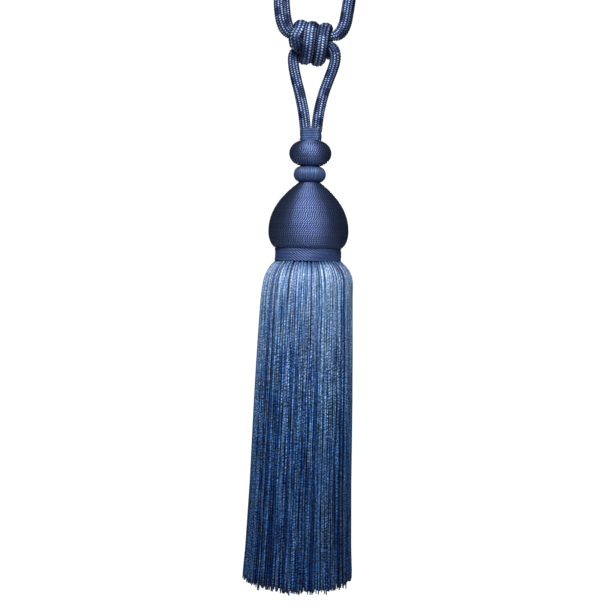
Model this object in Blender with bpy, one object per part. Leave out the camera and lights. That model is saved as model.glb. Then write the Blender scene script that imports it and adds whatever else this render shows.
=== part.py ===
"""A curtain tassel in navy and blue yarn, hanging from its tieback rope.

The rope loop hangs over a hook at the origin. Below it, in order, are the coiled knot of the hanger rope, the
neck binding, a flattened ball, a ring, the bell-shaped head, a braid band and the skirt of cut threads.
Lengths are in metres, +Z is up, +X is to the right and +Y points away from the front.
"""

import math
import random

import bmesh
import bpy
from mathutils import Vector

MM = 0.001
CLEARANCE = 0.3 * MM

# Ropes
ROPE_DIAMETER = 6.9 * MM
ROPE_STEP = 4.0 * MM
ROPE_BEVEL_RESOLUTION = 2

# Heights of the seats between the pieces, from the top of the neck down
NECK_TOP = -113.6 * MM
BALL_TOP = -121.4 * MM
RING_TOP = -138.3 * MM
HEAD_TOP = -148.7 * MM
BAND_TOP = -191.2 * MM
BAND_BOTTOM = -199.5 * MM

# Neck binding: thread wound round the two ends of the hanger rope
NECK_WIDTH = 13.8 * MM
NECK_DEPTH = 9.0 * MM
NECK_TURNS = 6
NECK_RIDGE = 0.35 * MM
NECK_ROWS_PER_TURN = 2
NECK_GROOVE_FULLNESS = 0.45
NECK_END_STEPS = 9

# Turned pieces
ROUND_STEPS = 40
SEAT_RADIUS = 6.0 * MM
BALL_RADIUS = 13.75 * MM
BALL_ROUNDNESS = 0.8
RING_RADIUS = 10.5 * MM
RING_SEAT_RADIUS = 5.6 * MM
HEAD_RADIUS = 26.05 * MM
HEAD_TOP_RADIUS = 7.1 * MM
HEAD_BOTTOM_RADIUS = 21.3 * MM
HEAD_WIDEST = -180.8 * MM
HEAD_DOME_CURVE = 2.2
HEAD_UNDER_CURVE = 0.65

# Braid band round the heading of the skirt
BAND_RADIUS = 21.45 * MM
BAND_THICKNESS = 2.1 * MM
BAND_ROWS = 4
BAND_ROW_RELIEF = 0.55 * MM
BAND_ROW_ROUNDNESS = 0.5

# Skirt
HEADING_RADIUS = BAND_RADIUS - BAND_THICKNESS - CLEARANCE
HEADING_STEPS = 60
HEM_UNEVENNESS = 1.6 * MM
SHOULDER_DEPTH = 14.2
STRAND_INSET = 0.12 * MM
STRAND_BULGE = 0.35 * MM
STRAND_FILL = 0.39
STRAND_ROOT_THINNESS = 0.55
STRAND_FULL_DEPTH = 20.0
STRAND_WAVE_SHARE = 0.10
STRAND_WAVE_ANGLE = 9.0
SKIRT_DRIFT = 0.06
SKIRT_DRIFT_WAVES = 3.0
SKIRT_DRIFT_ANGLE = 4.0
SKIRT_SWAY = -1.7 * MM
SKIRT_SEED = 7

# Radius of the skirt's outside at depths below the band
SKIRT_OUTLINE = [
    # depth mm, radius mm
    (0.0, 21.0),
    (1.4, 22.6),
    (5.5, 26.0),
    (14.2, 28.6),
    (24.7, 29.7),
    (43.2, 30.5),
    (59.2, 31.1),
    (91.2, 31.9),
    (145.2, 33.0),
    (186.2, 34.2),
    (206.5, 35.5),
]

# One row for each ring of strands, from the outside in. Roots are places on the heading's underside,
# the share is of the skirt's radius, the half depth is at the hem, and a stride of 2 skips every other place.
STRAND_RINGS = [
    # root outer mm, root inner mm, share at shoulder, share at hem, half depth mm, stride, depths mm
    (18.6, 16.4, 0.940, 0.952, 1.7, 1, (1.4, 5.5, 14.2, 59.2, 131.2, 206.5)),
    (15.9, 13.7, 0.790, 0.836, 2.0, 1, (2.6, 14.2, 91.2, 206.5)),
    (13.0, 10.6, 0.590, 0.660, 3.2, 2, (8.0, 91.2, 206.5)),
    (9.6, 6.8, 0.330, 0.390, 4.6, 4, (10.0, 206.5)),
]

# Coiled knot: the line of its rope goes round a core of four strands
KNOT_HEIGHT = -58.9
KNOT_TILT = 0.10
COIL_HALF_DEPTH = 7.85
COIL_HALF_HEIGHT = 10.95
COIL_CORNER_SHARPNESS = 1.6
COIL_STEP_DEGREES = 30
COIL_FIRST_ANGLE = 120
COIL_LAST_ANGLE = 960

# Where the coil's rope passes under and over the core, along the cord. The last row only leads the front of
# the last turn, which ends before it.
COIL_PASSES = [
    # side, x mm
    ("under", 7.6),
    ("over", 8.3),
    ("under", 3.3),
    ("over", -0.4),
    ("under", -4.9),
    ("over", -7.5),
    ("under", -12.6),
]

# Routes of the ropes' centre lines. Thickness is a share of the full diameter, which the knot squeezes.
HANGER_LEFT_LEG = [
    # x mm, y mm, z mm, thickness
    (-3.6, 0.0, -113.2, 1.0),
    (-4.7, 0.0, -105.5, 1.0),
    (-6.2, 0.0, -97.8, 1.0),
    (-8.1, 0.0, -90.0, 1.0),
    (-10.2, 0.0, -82.6, 1.0),
    (-11.9, 0.2, -75.1, 1.0),
    (-12.5, 0.6, -69.4, 1.0),
    (-12.0, 1.3, -66.2, 0.95),
    (-10.4, 1.8, -64.4, 0.8),
    (-8.0, 1.0, -63.7, 0.62),
    (-4.0, 0.0, -63.5, 0.6),
    (2.0, 0.0, -64.0, 0.6),
    (6.5, 0.0, -64.7, 0.62),
    (9.2, 0.8, -65.4, 0.76),
    (11.2, 2.8, -65.6, 0.88),
    (11.9, 5.6, -63.9, 0.98),
    (10.4, 7.7, -60.2, 1.0),
]
HANGER_RIGHT_LEG = [
    # x mm, y mm, z mm, thickness
    (-11.3, -7.4, -56.3, 1.0),
    (-11.2, -7.1, -58.9, 1.0),
    (-10.7, -6.2, -61.0, 0.94),
    (-9.6, -4.7, -61.8, 0.82),
    (-8.0, -3.1, -60.8, 0.68),
    (-6.0, -1.2, -59.3, 0.62),
    (-3.0, 0.0, -58.7, 0.6),
    (0.0, 0.0, -58.9, 0.6),
    (5.5, 0.0, -59.7, 0.6),
    (8.4, -0.9, -60.2, 0.66),
    (10.6, -2.4, -60.6, 0.82),
    (12.4, -3.5, -61.7, 0.96),
    (13.8, -4.0, -63.9, 1.0),
    (14.6, -3.8, -66.9, 1.0),
    (14.4, -2.8, -70.6, 1.0),
    (13.1, -1.8, -75.4, 1.0),
    (10.5, -0.8, -82.6, 1.0),
    (8.0, 0.0, -90.0, 1.0),
    (6.0, 0.0, -97.8, 1.0),
    (4.6, 0.0, -105.5, 1.0),
    (3.6, 0.0, -113.2, 1.0),
]
EMBRACE_FRONT = [
    # x mm, y mm, z mm, thickness
    (-0.2, -1.8, -54.9, 0.46),
    (-4.0, -1.8, -54.6, 0.46),
    (-7.0, -1.8, -54.8, 0.46),
    (-9.8, -1.4, -55.0, 0.48),
    (-13.2, -1.2, -54.6, 0.72),
    (-18.0, -2.4, -50.9, 1.0),
    (-20.5, -3.4, -46.0, 1.0),
    (-22.0, -3.7, -38.4, 1.0),
    (-22.4, -3.7, -30.9, 1.0),
    (-22.3, -3.7, -25.0, 1.0),
    (-20.6, -3.7, -13.2, 1.0),
    (-16.0, -3.7, -3.9, 1.0),
    (-8.7, -3.7, 1.8, 1.0),
    (0.0, -3.7, 3.75, 1.0),
    (8.7, -3.7, 1.8, 1.0),
    (16.4, -3.7, -3.5, 1.0),
    (21.4, -3.7, -11.5, 1.0),
    (23.0, -3.7, -21.5, 1.0),
    (22.3, -3.7, -29.8, 1.0),
    (21.2, -3.7, -37.6, 1.0),
    (19.9, -3.5, -45.4, 1.0),
    (17.8, -3.0, -50.7, 1.0),
    (15.2, -2.6, -53.5, 1.0),
    (12.3, -2.6, -54.4, 0.82),
    (9.6, -2.1, -55.3, 0.57),
    (7.0, -1.8, -55.5, 0.46),
    (4.0, -1.8, -55.3, 0.46),
    (0.2, -1.8, -54.9, 0.46),
]
EMBRACE_BACK = [
    # x mm, y mm, z mm, thickness
    (-0.2, 1.8, -54.9, 0.46),
    (-4.0, 1.8, -54.5, 0.46),
    (-7.0, 1.8, -54.2, 0.46),
    (-9.5, 2.2, -53.8, 0.46),
    (-12.6, 4.4, -52.6, 0.6),
    (-15.4, 5.0, -49.2, 0.95),
    (-17.6, 4.4, -43.4, 1.0),
    (-18.8, 3.9, -36.6, 1.0),
    (-19.3, 3.7, -30.0, 1.0),
    (-19.5, 3.7, -25.0, 1.0),
    (-18.0, 3.7, -13.2, 1.0),
    (-13.6, 3.7, -3.9, 1.0),
    (-7.3, 3.7, 1.8, 1.0),
    (1.0, 3.7, 3.75, 1.0),
    (9.7, 3.7, 1.8, 1.0),
    (17.4, 3.7, -3.5, 1.0),
    (22.6, 3.7, -11.5, 1.0),
    (24.2, 3.7, -21.5, 1.0),
    (23.5, 3.7, -29.8, 1.0),
    (22.5, 3.8, -37.6, 1.0),
    (21.2, 4.4, -44.8, 1.0),
    (19.0, 5.0, -49.9, 0.97),
    (16.0, 4.3, -53.1, 0.78),
    (13.0, 2.9, -54.3, 0.52),
    (10.0, 1.95, -54.9, 0.46),
    (7.0, 1.8, -55.5, 0.46),
    (4.0, 1.8, -55.3, 0.46),
    (0.2, 1.8, -54.9, 0.46),
]


def clear_scene():
    """Remove everything that the startup file brings."""
    for obj in list(bpy.data.objects):
        bpy.data.objects.remove(obj, do_unlink=True)


def yarn_material(name, colour, roughness):
    """A plain yarn finish with a little sheen."""
    material = bpy.data.materials.new(name)
    material.use_nodes = True
    shader = material.node_tree.nodes["Principled BSDF"]
    shader.inputs["Base Color"].default_value = (*colour, 1.0)
    shader.inputs["Roughness"].default_value = roughness
    shader.inputs["Metallic"].default_value = 0.0
    material.diffuse_color = (*colour, 1.0)
    return material


def add_piece(name, data, material):
    """Link a mesh or a curve to the scene as one named piece."""
    piece = bpy.data.objects.new(name, data)
    piece.data.materials.append(material)
    bpy.context.scene.collection.objects.link(piece)
    return piece


def finish_mesh(name, shape, material):
    """Turn a bmesh into a piece with its faces pointing out."""
    bmesh.ops.recalc_face_normals(shape, faces=shape.faces)
    mesh = bpy.data.meshes.new(name)
    shape.to_mesh(mesh)
    shape.free()
    mesh.shade_smooth()
    mesh.set_sharp_from_angle(angle=math.radians(50))
    return add_piece(name, mesh, material)


def mix(start, end, share):
    """The value a share of the way from start to end."""
    return start + (end - start) * share


def table_value(rows, place):
    """Read a two-column table between its rows."""
    for (low, low_value), (high, high_value) in zip(rows, rows[1:]):
        if place <= high:
            return mix(low_value, high_value, (place - low) / (high - low))
    return rows[-1][1]


def spun(profile, steps):
    """Turn a profile of (radius, height) points about the Z axis."""
    shape = bmesh.new()
    corners = [shape.verts.new((radius, 0.0, height)) for radius, height in profile]
    edges = [shape.edges.new(pair) for pair in zip(corners, corners[1:])]
    bmesh.ops.spin(
        shape,
        geom=corners + edges,
        cent=(0.0, 0.0, 0.0),
        axis=(0.0, 0.0, 1.0),
        angle=math.tau,
        steps=steps,
        use_merge=True,
        use_duplicate=False,
    )
    bmesh.ops.remove_doubles(shape, verts=shape.verts, dist=0.001 * MM)
    return shape


def coil_rows():
    """The coil's route: from under the core, behind it, over it and down in front, turn by turn."""
    rows = []
    for angle in range(COIL_FIRST_ANGLE, COIL_LAST_ANGLE + 1, COIL_STEP_DEGREES):
        half_turn, share = divmod(angle / 180, 1)
        start, end = COIL_PASSES[int(half_turn)][1], COIL_PASSES[int(half_turn) + 1][1]
        x = mix(start, end, share)
        cosine = math.cos(math.radians(angle))
        straight = max(-1.0, min(1.0, COIL_CORNER_SHARPNESS * cosine))
        centre = KNOT_HEIGHT - KNOT_TILT * x
        y = COIL_HALF_DEPTH * math.sin(math.radians(angle))
        z = centre - COIL_HALF_DEPTH * cosine - (COIL_HALF_HEIGHT - COIL_HALF_DEPTH) * straight
        rows.append((x, y, z, 1.0))
    return rows


def blend(first, second, first_time, second_time, time):
    """One step of the interpolation between two route points."""
    share = (time - first_time) / (second_time - first_time)
    return [mix(a, b, share) for a, b in zip(first, second)]


def smooth_route(rows):
    """Points at an even step along a centripetal Catmull-Rom curve through the rows, in metres."""
    first = [2 * a - b for a, b in zip(rows[0], rows[1])]
    last = [2 * a - b for a, b in zip(rows[-1], rows[-2])]
    knots = [first, *rows, last]
    times = [0.0]
    for a, b in zip(knots, knots[1:]):
        times.append(times[-1] + math.sqrt(math.dist(a[:3], b[:3])))
    dense = []
    for i in range(1, len(knots) - 2):
        t0, t1, t2, t3 = times[i - 1 : i + 3]
        p0, p1, p2, p3 = knots[i - 1 : i + 3]
        parts = 12
        for part in range(parts):
            t = mix(t1, t2, part / parts)
            a1 = blend(p0, p1, t0, t1, t)
            a2 = blend(p1, p2, t1, t2, t)
            a3 = blend(p2, p3, t2, t3, t)
            b1 = blend(a1, a2, t0, t2, t)
            b2 = blend(a2, a3, t1, t3, t)
            dense.append(blend(b1, b2, t1, t2, t))
    dense.append(list(rows[-1]))
    lengths = [0.0]
    for a, b in zip(dense, dense[1:]):
        lengths.append(lengths[-1] + math.dist(a[:3], b[:3]) * MM)
    count = round(lengths[-1] / ROPE_STEP)
    points = []
    place = 0
    for step in range(count + 1):
        target = lengths[-1] * step / count
        while place < len(lengths) - 2 and lengths[place + 1] < target:
            place += 1
        share = (target - lengths[place]) / (lengths[place + 1] - lengths[place])
        x, y, z, thickness = (mix(a, b, share) for a, b in zip(dense[place], dense[place + 1]))
        points.append((x * MM, y * MM, z * MM, thickness))
    return points


def rope(name, rows, material):
    """A rope as a tube along its route, thinner where the knot squeezes it."""
    points = smooth_route(rows)
    curve = bpy.data.curves.new(name, "CURVE")
    curve.dimensions = "3D"
    curve.bevel_depth = ROPE_DIAMETER / 2
    curve.bevel_resolution = ROPE_BEVEL_RESOLUTION
    curve.use_fill_caps = True
    spline = curve.splines.new("POLY")
    spline.points.add(len(points) - 1)
    for target, (x, y, z, thickness) in zip(spline.points, points):
        target.co = (x, y, z, 1.0)
        target.radius = thickness
    spline.use_smooth = True
    return add_piece(name, curve, material)


def neck_binding(material):
    """Thread wound round both rope ends: an oval drum with a ridge for each turn."""
    shape = bmesh.new()
    height = NECK_TOP - BALL_TOP - CLEARANCE
    top = NECK_TOP
    straight = (NECK_WIDTH - NECK_DEPTH) / 2
    corner = NECK_DEPTH / 2
    levels = [(0.0, 0.0)]
    for turn in range(NECK_TURNS):
        for part in range(NECK_ROWS_PER_TURN):
            place = turn + (part + 0.5) / NECK_ROWS_PER_TURN
            fullness = 1.0 if part == 0 else NECK_GROOVE_FULLNESS
            levels.append((place / NECK_TURNS, fullness))
    levels.append((1.0, 0.0))
    outline_at = []
    for share, fullness in levels:
        radius = corner - NECK_RIDGE * (1.0 - fullness)
        outline = []
        for side in (1, -1):
            for step in range(NECK_END_STEPS):
                angle = math.radians(-90 + 180 * step / (NECK_END_STEPS - 1))
                x = side * (straight + radius * math.cos(angle))
                y = side * radius * math.sin(angle)
                outline.append(shape.verts.new((x, y, top - height * share)))
        outline_at.append(outline)
    for upper, lower in zip(outline_at, outline_at[1:]):
        for i, corner_vertex in enumerate(upper):
            following = (i + 1) % len(upper)
            shape.faces.new((corner_vertex, upper[following], lower[following], lower[i]))
    shape.faces.new(outline_at[0])
    shape.faces.new(outline_at[-1])
    return finish_mesh("neck_binding", shape, material)


def flattened_ball(material):
    """The small ball, flattened at its poles, with flat seats."""
    top, bottom = BALL_TOP, RING_TOP + CLEARANCE
    middle, half = (top + bottom) / 2, (top - bottom) / 2
    seat_angle = math.asin((SEAT_RADIUS / BALL_RADIUS) ** (1.0 / BALL_ROUNDNESS))
    rows = 11
    profile = [(0.0, top)]
    for i in range(rows):
        angle = mix(seat_angle, math.pi - seat_angle, i / (rows - 1))
        radius = BALL_RADIUS * math.sin(angle) ** BALL_ROUNDNESS
        profile.append((radius, middle + half * math.cos(angle) / math.cos(seat_angle)))
    profile.append((0.0, bottom))
    return finish_mesh("ball", spun(profile, ROUND_STEPS), material)


def ring(material):
    """The wrapped ring: a full round rim with flat seats above and below."""
    top, bottom = RING_TOP, HEAD_TOP + CLEARANCE
    middle, half = (top + bottom) / 2, (top - bottom) / 2
    rim = RING_RADIUS - RING_SEAT_RADIUS
    rows = 9
    profile = [(0.0, top)]
    for i in range(rows):
        angle = math.pi * i / (rows - 1)
        profile.append((RING_SEAT_RADIUS + rim * math.sin(angle), middle + half * math.cos(angle)))
    profile.append((0.0, bottom))
    return finish_mesh("ring", spun(profile, ROUND_STEPS), material)


def head(material):
    """The bell: a steep dome to its widest line, then a short turn in to the band."""
    top, bottom = HEAD_TOP, BAND_TOP + CLEARANCE
    dome_rows, under_rows = 12, 5
    profile = [(0.0, top)]
    for i in range(dome_rows):
        down = (i / (dome_rows - 1)) ** 1.3
        fullness = 1.0 - (1.0 - down) ** HEAD_DOME_CURVE
        profile.append((mix(HEAD_TOP_RADIUS, HEAD_RADIUS, fullness), mix(top, HEAD_WIDEST, down)))
    for i in range(1, under_rows + 1):
        down = math.sin(math.radians(90 * i / under_rows))
        narrowing = 1.0 - (1.0 - down**2) ** HEAD_UNDER_CURVE
        profile.append((mix(HEAD_RADIUS, HEAD_BOTTOM_RADIUS, narrowing), mix(HEAD_WIDEST, bottom, down)))
    profile.append((0.0, bottom))
    return finish_mesh("head", spun(profile, ROUND_STEPS), material)


def braid_band(material):
    """The band: rows of thin cord, one above the other, on an open ring."""
    height = BAND_TOP - BAND_BOTTOM
    inner = BAND_RADIUS - BAND_THICKNESS
    points_per_row = 3
    profile = [(inner, BAND_TOP)]
    for row in range(BAND_ROWS):
        for point in range(points_per_row):
            share = (point + 0.5) / points_per_row
            radius = BAND_RADIUS - BAND_ROW_RELIEF * (1.0 - math.sin(math.pi * share) ** BAND_ROW_ROUNDNESS)
            profile.append((radius, BAND_TOP - height * (row + share) / BAND_ROWS))
    profile.append((inner, BAND_BOTTOM))
    profile.append(profile[0])
    return finish_mesh("band", spun(profile, ROUND_STEPS), material)


def strand_section(shape, face, centre, outward, half_width, half_depth, turn):
    """Extrude a strand's end face and put its corners round a new centre."""
    middle = face.calc_center_median()
    old_outward = Vector((middle.x, middle.y, 0.0)).normalized()
    across = Vector((0.0, 0.0, 1.0)).cross(outward)
    old_across = Vector((0.0, 0.0, 1.0)).cross(old_outward)
    end = bmesh.ops.extrude_discrete_faces(shape, faces=[face])["faces"][0]
    for corner in end.verts:
        offset = corner.co - middle
        angle = math.atan2(offset.dot(old_outward), offset.dot(old_across))
        quarter = (math.floor(angle / (math.pi / 2)) + 0.5) * (math.pi / 2) if turn else angle
        placed = quarter + turn
        sideways = across * (half_width * math.cos(placed))
        corner.co = centre + sideways + outward * (half_depth * math.sin(placed))
    return end


def skirt(material):
    """The heading disc with every strand drawn out of its underside."""
    chance = random.Random(SKIRT_SEED)
    top = BAND_TOP
    radii = sorted({edge for row in STRAND_RINGS for edge in row[:2]}, reverse=True)
    profile = [(0.0, top), (HEADING_RADIUS, top), (HEADING_RADIUS, BAND_BOTTOM)]
    profile += [(edge * MM, BAND_BOTTOM) for edge in radii]
    profile.append((0.0, BAND_BOTTOM))
    shape = spun(profile, HEADING_STEPS)
    bmesh.ops.recalc_face_normals(shape, faces=shape.faces)
    pitch_angle = math.tau / HEADING_STEPS
    roots = []
    for row, (outer, inner, *_, stride, _depths) in enumerate(STRAND_RINGS):
        for face in shape.faces:
            middle = face.calc_center_median()
            radius = math.hypot(middle.x, middle.y) / MM
            place = round(math.atan2(middle.y, middle.x) / pitch_angle - 0.5) % HEADING_STEPS
            if face.normal.z < -0.9 and inner < radius < outer and place % stride == row % stride:
                roots.append((row, place, face))
    bmesh.ops.inset_individual(shape, faces=[face for _, _, face in roots], thickness=STRAND_INSET)
    for row, place, face in roots:
        _, _, shoulder_share, hem_share, half_depth, stride, depths = STRAND_RINGS[row]
        angle = (place + 0.5) * pitch_angle
        length_change = chance.uniform(-1.0, 1.0) * HEM_UNEVENNESS
        bulge = chance.uniform(-1.0, 1.0) * STRAND_BULGE
        wave_phase = chance.uniform(0.0, math.tau)
        end = face
        for level, depth in enumerate(depths):
            last = level == len(depths) - 1
            first_turn = math.pi / 4 if level == 0 else 0.0
            down = depth / depths[-1]
            share = mix(shoulder_share, hem_share, down)
            radius = table_value(SKIRT_OUTLINE, depth) * MM * share
            radius += bulge * min(1.0, depth / SHOULDER_DEPTH)
            sideways = STRAND_WAVE_SHARE * pitch_angle * math.sin(wave_phase + STRAND_WAVE_ANGLE * down)
            drift = SKIRT_DRIFT * math.sin(SKIRT_DRIFT_WAVES * angle + SKIRT_DRIFT_ANGLE * down) * down
            direction = angle + sideways + drift
            outward = Vector((math.cos(direction), math.sin(direction), 0.0))
            centre = outward * radius
            centre.x += SKIRT_SWAY * down
            centre.z = BAND_BOTTOM - depth * MM + (length_change if last else 0.0)
            half_width = STRAND_FILL * stride * pitch_angle * radius
            fullness = mix(STRAND_ROOT_THINNESS, 1.0, min(1.0, depth / STRAND_FULL_DEPTH))
            thickness = fullness * half_depth * MM
            end = strand_section(shape, end, centre, outward, half_width, thickness, first_turn)
    return finish_mesh("skirt", shape, material)


def main():
    clear_scene()
    navy_rope = yarn_material("navy_rope", (0.045, 0.075, 0.17), 0.55)
    navy_yarn = yarn_material("navy_yarn", (0.035, 0.05, 0.15), 0.5)
    ring_yarn = yarn_material("ring_yarn", (0.08, 0.13, 0.3), 0.45)
    skirt_yarn = yarn_material("skirt_yarn", (0.07, 0.14, 0.28), 0.6)
    rope("embrace_front", EMBRACE_FRONT, navy_rope)
    rope("embrace_back", EMBRACE_BACK, navy_rope)
    rope("hanger_cord", HANGER_LEFT_LEG + coil_rows() + HANGER_RIGHT_LEG, navy_rope)
    neck_binding(navy_yarn)
    flattened_ball(navy_yarn)
    ring(ring_yarn)
    head(navy_yarn)
    braid_band(navy_yarn)
    skirt(skirt_yarn)


main()
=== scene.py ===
"""The looks of a curtain tassel in navy and blue yarn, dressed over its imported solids.

One class builds each sub-assembly, from the rope loop at the top to the skirt's cut ends, and one class builds
each finish. Lengths are in metres, +Z is up and the front faces -Y.
"""

import logging
import math
from dataclasses import dataclass, field
from enum import Enum
from typing import Any, Callable, Sequence

import bmesh
import bpy
import numpy as np
from mathutils import Matrix, Vector

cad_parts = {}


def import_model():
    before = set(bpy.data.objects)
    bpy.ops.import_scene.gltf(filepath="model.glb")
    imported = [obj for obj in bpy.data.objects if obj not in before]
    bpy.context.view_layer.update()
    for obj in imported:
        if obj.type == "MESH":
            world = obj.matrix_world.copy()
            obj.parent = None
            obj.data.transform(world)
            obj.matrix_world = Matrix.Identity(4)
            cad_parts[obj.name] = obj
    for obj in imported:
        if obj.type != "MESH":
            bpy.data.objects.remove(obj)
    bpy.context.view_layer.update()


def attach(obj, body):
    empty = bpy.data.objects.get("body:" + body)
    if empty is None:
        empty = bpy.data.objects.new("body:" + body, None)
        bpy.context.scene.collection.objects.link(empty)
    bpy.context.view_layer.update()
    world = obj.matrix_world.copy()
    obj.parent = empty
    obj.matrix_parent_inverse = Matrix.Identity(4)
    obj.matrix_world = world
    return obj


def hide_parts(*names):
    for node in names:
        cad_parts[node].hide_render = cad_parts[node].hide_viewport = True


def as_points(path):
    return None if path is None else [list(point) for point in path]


LOG = logging.getLogger("tassel")

MM = 0.001
TURN = math.tau
BODY = "root"
WRAP_LEAN = 40.0

Array = np.ndarray
Socket = bpy.types.NodeSocket
Material = bpy.types.Material
Mesh = bpy.types.Mesh
Piece = bpy.types.Object
Row = tuple[float, ...]
Colour = tuple[float, float, float]
Place = tuple[float, float, float]
Profile = list[tuple[float, float]]

# Heights of the seats between the pieces
NECK_TOP = -113.6 * MM
BALL_TOP = -121.4 * MM
RING_TOP = -138.3 * MM
HEAD_TOP = -148.7 * MM
HEAD_WIDEST = -180.8 * MM
BAND_TOP = -191.2 * MM
BAND_BOTTOM = -199.5 * MM

# Routes of the ropes' centre lines, as in the part's solids. Thickness is a share of the full diameter.
ROPE_DIAMETER = 6.9 * MM
KNOT_HEIGHT = -58.9
KNOT_TILT = 0.10
COIL_HALF_DEPTH = 7.85
COIL_HALF_HEIGHT = 10.95
COIL_CORNER_SHARPNESS = 1.6
COIL_ANGLES = range(120, 961, 30)
COIL_PASSES = (7.6, 8.3, 3.3, -0.4, -4.9, -7.5, -12.6)

HANGER_LEFT_LEG: list[Row] = [
    # x mm, y mm, z mm, and the thickness where it is not 1
    (-3.4, 0.0, -115.4), (-4.7, 0.0, -105.5), (-6.2, 0.0, -97.8), (-8.1, 0.0, -90.0),
    (-10.2, 0.0, -82.6), (-11.9, 0.2, -75.1), (-12.5, 0.6, -69.4), (-12.0, 0.9, -66.0),
    (-10.4, 0.6, -63.8, 0.92), (-8.0, -0.6, -63.1, 0.78), (-4.0, -0.3, -63.3, 0.65),
    (2.0, 0.0, -64.0, 0.6), (6.5, 0.0, -64.7, 0.62), (9.2, 0.8, -65.4, 0.76), (11.2, 2.8, -65.6, 0.88),
    (11.9, 5.6, -63.9, 0.98), (10.4, 7.7, -60.2),
]
HANGER_RIGHT_LEG: list[Row] = [
    # x mm, y mm, z mm, and the thickness where it is not 1
    (-11.3, -7.4, -56.3), (-11.2, -7.1, -58.9), (-10.7, -6.2, -61.0, 0.94),
    (-9.6, -4.7, -61.8, 0.82), (-8.0, -3.1, -60.8, 0.68), (-6.0, -1.2, -59.3, 0.62),
    (-3.0, 0.0, -58.7, 0.6), (0.0, 0.0, -58.9, 0.6), (5.5, 0.0, -59.7, 0.6), (8.4, -0.9, -60.2, 0.66),
    (10.6, -2.4, -60.6, 0.82), (12.4, -3.5, -61.7, 0.96), (13.8, -4.0, -63.9),
    (14.6, -3.8, -66.9), (14.4, -2.8, -70.6), (13.1, -1.8, -75.4), (10.5, -0.8, -82.6),
    (8.0, 0.0, -90.0), (6.0, 0.0, -97.8), (4.6, 0.0, -105.5), (3.6, 0.0, -115.4),
]
EMBRACE_FRONT: list[Row] = [
    # x mm, y mm, z mm, and the thickness where it is not 1
    (-0.2, -1.8, -54.9, 0.46), (-4.0, -1.8, -54.6, 0.46), (-7.0, -1.8, -54.8, 0.46),
    (-9.8, -1.4, -55.0, 0.48), (-13.2, -1.2, -54.6, 0.72), (-18.0, -2.4, -50.9),
    (-20.5, -3.4, -46.0), (-22.0, -3.7, -38.4), (-22.4, -3.7, -30.9),
    (-22.3, -3.7, -25.0), (-20.6, -3.7, -13.2), (-16.0, -3.7, -3.9), (-8.7, -3.7, 1.8),
    (0.0, -3.7, 3.75), (8.7, -3.7, 1.8), (16.4, -3.7, -3.5), (21.4, -3.7, -11.5),
    (23.0, -3.7, -21.5), (22.3, -3.7, -29.8), (21.2, -3.7, -37.6), (19.9, -3.5, -45.4),
    (17.8, -3.0, -50.7), (15.2, -2.6, -53.5), (12.3, -2.6, -54.4, 0.82),
    (9.6, -2.1, -55.3, 0.57), (7.0, -1.8, -55.5, 0.46), (4.0, -1.8, -55.3, 0.46), (0.2, -1.8, -54.9, 0.46),
]
EMBRACE_BACK: list[Row] = [
    # x mm, y mm, z mm, and the thickness where it is not 1
    (-0.2, 1.8, -54.9, 0.46), (-4.0, 1.8, -54.5, 0.46), (-7.0, 1.8, -54.2, 0.46), (-9.5, 2.2, -53.8, 0.46),
    (-12.6, 4.4, -52.6, 0.6), (-15.4, 5.0, -49.2, 0.95), (-17.6, 4.4, -43.4),
    (-18.8, 3.9, -36.6), (-19.3, 3.7, -30.0), (-19.5, 3.7, -25.0), (-18.0, 3.7, -13.2),
    (-13.6, 3.7, -3.9), (-7.3, 3.7, 1.8), (1.0, 3.7, 3.75), (9.7, 3.7, 1.8),
    (17.4, 3.7, -3.5), (22.6, 3.7, -11.5), (24.2, 3.7, -21.5), (23.5, 3.7, -29.8),
    (22.5, 3.8, -37.6), (21.2, 4.4, -44.8), (19.0, 5.0, -49.9, 0.97), (16.0, 4.3, -53.1, 0.78),
    (13.0, 2.9, -54.3, 0.52), (10.0, 1.95, -54.9, 0.46), (7.0, 1.8, -55.5, 0.46), (4.0, 1.8, -55.3, 0.46),
    (0.2, 1.8, -54.9, 0.46),
]


class Slant(Enum):
    """Which way the strokes of a twisted thread run on the front, read from left to right."""

    RISING = 1.0
    FALLING = -1.0


# Shader writing


def operator(operation: str, swapped: bool = False) -> Callable[..., "Value"]:
    """A method of Value that adds one Math node.

    Args:
        operation: The Math node's operation.
        swapped: Whether the value itself comes last.

    Returns:
        The method, which takes the other inputs as Values or numbers.
    """

    def method(self: "Value", *others: Any) -> "Value":
        """Write the node and return its result."""
        operands = (*others, self) if swapped else (self, *others)
        node = self.shader.node("ShaderNodeMath", {"operation": operation}, dict(enumerate(operands)))
        return Value(self.shader, node.outputs[0])

    return method


class Value:
    """A number socket that takes part in Python expressions."""

    __add__ = __radd__ = operator("ADD")
    __mul__ = __rmul__ = operator("MULTIPLY")
    __sub__ = operator("SUBTRACT")
    __rsub__ = operator("SUBTRACT", swapped=True)
    __truediv__ = operator("DIVIDE")
    __pow__ = operator("POWER")
    floor = operator("FLOOR")
    size = operator("ABSOLUTE")
    sine = operator("SINE")
    angle_over = operator("ARCTAN2")

    def __init__(self, shader: "Shader", socket: Socket) -> None:
        """Keep the socket and the shader that writes its nodes."""
        self.shader = shader
        self.socket = socket

    def clamped(self) -> "Value":
        """The value held between 0 and 1."""
        node = self.shader.node("ShaderNodeClamp", {}, {"Value": self})
        return Value(self.shader, node.outputs[0])

    def ridge(self) -> "Value":
        """A row of rounded ridges, one for each whole number, 0 in the grooves and 1 on the crests."""
        return (self * math.pi).sine().size()

    def ramp(self, low: float, high: float, start: float = 0.0, end: float = 1.0) -> "Value":
        """Map low..high smoothly onto start..end."""
        sockets = {"Value": self, "From Min": low, "From Max": high, "To Min": start, "To Max": end}
        node = self.shader.node("ShaderNodeMapRange", {"interpolation_type": "SMOOTHSTEP"}, sockets)
        return Value(self.shader, node.outputs[0])


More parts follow.
